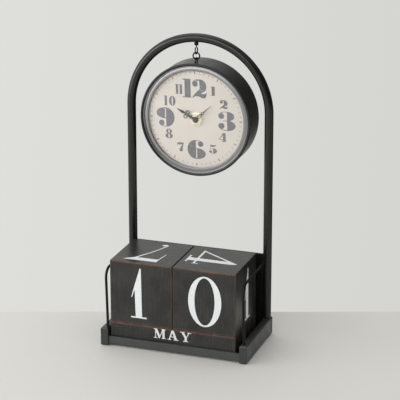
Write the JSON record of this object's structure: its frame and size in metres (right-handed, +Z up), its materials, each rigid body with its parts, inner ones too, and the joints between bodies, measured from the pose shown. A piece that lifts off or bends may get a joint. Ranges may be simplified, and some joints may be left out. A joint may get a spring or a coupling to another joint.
{
  "type": "perpetual calendar clock",
  "caption": "Small drum clock hanging on a hook and ring inside a tall round arch, above loose number cubes and month bars that stand in a low tray with wire guards at both sides.",
  "frame": {"origin": "on the table, under the middle of the bounding box", "axes": "+X to the clock's right as seen from the front, +Y to the back, +Z up"},
  "size_m": [0.14, 0.0914, 0.281],
  "materials": {
    "frame_paint": "satin",
    "hook_paint": "satin",
    "drum_black": "gloss",
    "cover_black": "matte",
    "bezel_silver": "satin",
    "clear_glass": "polished",
    "dial_paint": "matte",
    "housing_plastic": "matte",
    "brass": "satin",
    "steel": "satin",
    "copper_wire": "satin",
    "wheel_plastic": "satin",
    "rubber_black": "matte",
    "board_green": "satin",
    "battery_sleeve": "satin",
    "magnet": "satin",
    "hand_paint": "satin",
    "knob_plastic": "matte",
    "block_paint": "painted matte, worn at the edges"
  },
  "bodies": {
    "stand": {"left_rail": "frame_paint", "right_rail": "frame_paint", "front_rail": "frame_paint", "tray_floor": "frame_paint", "back_panel": "frame_paint", "arch_tube": "frame_paint", "left_guard_wire": "frame_paint", "right_guard_wire": "frame_paint", "arch_hook": "hook_paint"},
    "ring": {"hanging_ring": "hook_paint"},
    "drum": {"drum_eye": "hook_paint", "drum_case": "drum_black", "bezel_ring": "bezel_silver", "glass_lens": "clear_glass", "dial": "dial_paint", "rear_cover": "cover_black", "cover_screws": "steel", "movement_housing": "housing_plastic", "movement_lid": "housing_plastic", "middle_plate": "wheel_plastic", "threaded_bush": "brass", "rubber_washer": "rubber_black", "brass_washer": "brass", "hex_nut": "brass", "drive_coil": "copper_wire", "stator": "steel", "circuit_board": "board_green", "quartz_crystal": "steel", "battery_contact_plus": "steel", "battery_contact_minus": "steel"},
    "battery": {"battery": "battery_sleeve"},
    "minute": {"minute_hand": "hand_paint", "cannon_pinion": "brass", "hand_cap": "hand_paint"},
    "hour": {"hour_hand": "hand_paint", "hour_wheel": "brass"},
    "motion": {"motion_wheel": "wheel_plastic"},
    "set_knob": {"set_knob": "knob_plastic"},
    "rotor": {"rotor": "magnet"},
    "fifth": {"fifth_wheel": "wheel_plastic"},
    "seconds": {"seconds_wheel": "wheel_plastic"},
    "third": {"third_wheel": "wheel_plastic"},
    "centre": {"centre_wheel": "brass"},
    "back_bar": {"back_month_bar": "block_paint"},
    "middle_bar": {"middle_month_bar": "block_paint"},
    "front_bar": {"front_month_bar": "block_paint"},
    "left_cube": {"left_cube": "block_paint"},
    "right_cube": {"right_cube": "block_paint"}
  },
  "joints": [
    {"name": "ring_swing", "type": "hinge", "parent": "stand", "child": "ring", "pos_m": [-0.003, 0.02775, 0.26203], "axis": [0, 1, 0], "range_deg": [-9, 6.5]},
    {"name": "drum_swing", "type": "hinge", "parent": "ring", "child": "drum", "pos_m": [-0.003, 0.02775, 0.25713], "axis": [1, 0, 0], "range_deg": [-20, 20]},
    {"name": "minute_spin", "type": "hinge", "parent": "drum", "child": "minute", "pos_m": [-0.0015, 0.02775, 0.2026], "axis": [0, 1, 0], "continuous": true},
    {"name": "hour_spin", "type": "hinge", "parent": "drum", "child": "hour", "pos_m": [-0.0015, 0.02775, 0.2026], "axis": [0, 1, 0], "continuous": true},
    {"name": "motion_spin", "type": "hinge", "parent": "drum", "child": "motion", "pos_m": [0.0037, 0.02775, 0.1996], "axis": [0, 1, 0], "continuous": true},
    {"name": "knob_spin", "type": "hinge", "parent": "drum", "child": "set_knob", "pos_m": [0.00889, 0.02775, 0.1966], "axis": [0, 1, 0], "continuous": true},
    {"name": "rotor_spin", "type": "hinge", "parent": "drum", "child": "rotor", "pos_m": [-0.00461, 0.02775, 0.21398], "axis": [0, 1, 0], "continuous": true},
    {"name": "fifth_spin", "type": "hinge", "parent": "drum", "child": "fifth", "pos_m": [-0.00363, 0.02775, 0.20846], "axis": [0, 1, 0], "continuous": true},
    {"name": "seconds_spin", "type": "hinge", "parent": "drum", "child": "seconds", "pos_m": [-0.0015, 0.02775, 0.2026], "axis": [0, 1, 0], "continuous": true},
    {"name": "third_spin", "type": "hinge", "parent": "drum", "child": "third", "pos_m": [-0.00725, 0.02775, 0.20051], "axis": [0, 1, 0], "continuous": true},
    {"name": "centre_spin", "type": "hinge", "parent": "drum", "child": "centre", "pos_m": [-0.0015, 0.02775, 0.2026], "axis": [0, 1, 0], "continuous": true},
    {"name": "battery_out", "type": "slide", "parent": "drum", "child": "battery", "axis": [0, 1, 0], "range_m": [0, 0.04]},
    {"name": "back_bar_lift", "type": "slide", "parent": "stand", "child": "back_bar", "axis": [0, 0, 1], "range_m": [0, 0.06]},
    {"name": "middle_bar_lift", "type": "slide", "parent": "back_bar", "child": "middle_bar", "axis": [0, 0, 1], "range_m": [0, 0.06]},
    {"name": "front_bar_lift", "type": "slide", "parent": "middle_bar", "child": "front_bar", "axis": [0, 0, 1], "range_m": [0, 0.06]},
    {"name": "left_cube_lift", "type": "slide", "parent": "front_bar", "child": "left_cube", "axis": [0, 0, 1], "range_m": [0, 0.06]},
    {"name": "right_cube_lift", "type": "slide", "parent": "front_bar", "child": "right_cube", "axis": [0, 0, 1], "range_m": [0, 0.06]}
  ],
  "couplings": [
    {"joint": "motion_spin", "follows": "minute_spin", "ratio": -0.33333},
    {"joint": "hour_spin", "follows": "minute_spin", "ratio": 0.083333},
    {"joint": "knob_spin", "follows": "minute_spin", "ratio": 1},
    {"joint": "fifth_spin", "follows": "rotor_spin", "ratio": -0.16667},
    {"joint": "seconds_spin", "follows": "rotor_spin", "ratio": 0.033333},
    {"joint": "third_spin", "follows": "rotor_spin", "ratio": -0.0044444},
    {"joint": "centre_spin", "follows": "rotor_spin", "ratio": 0.00055556}
  ]
}
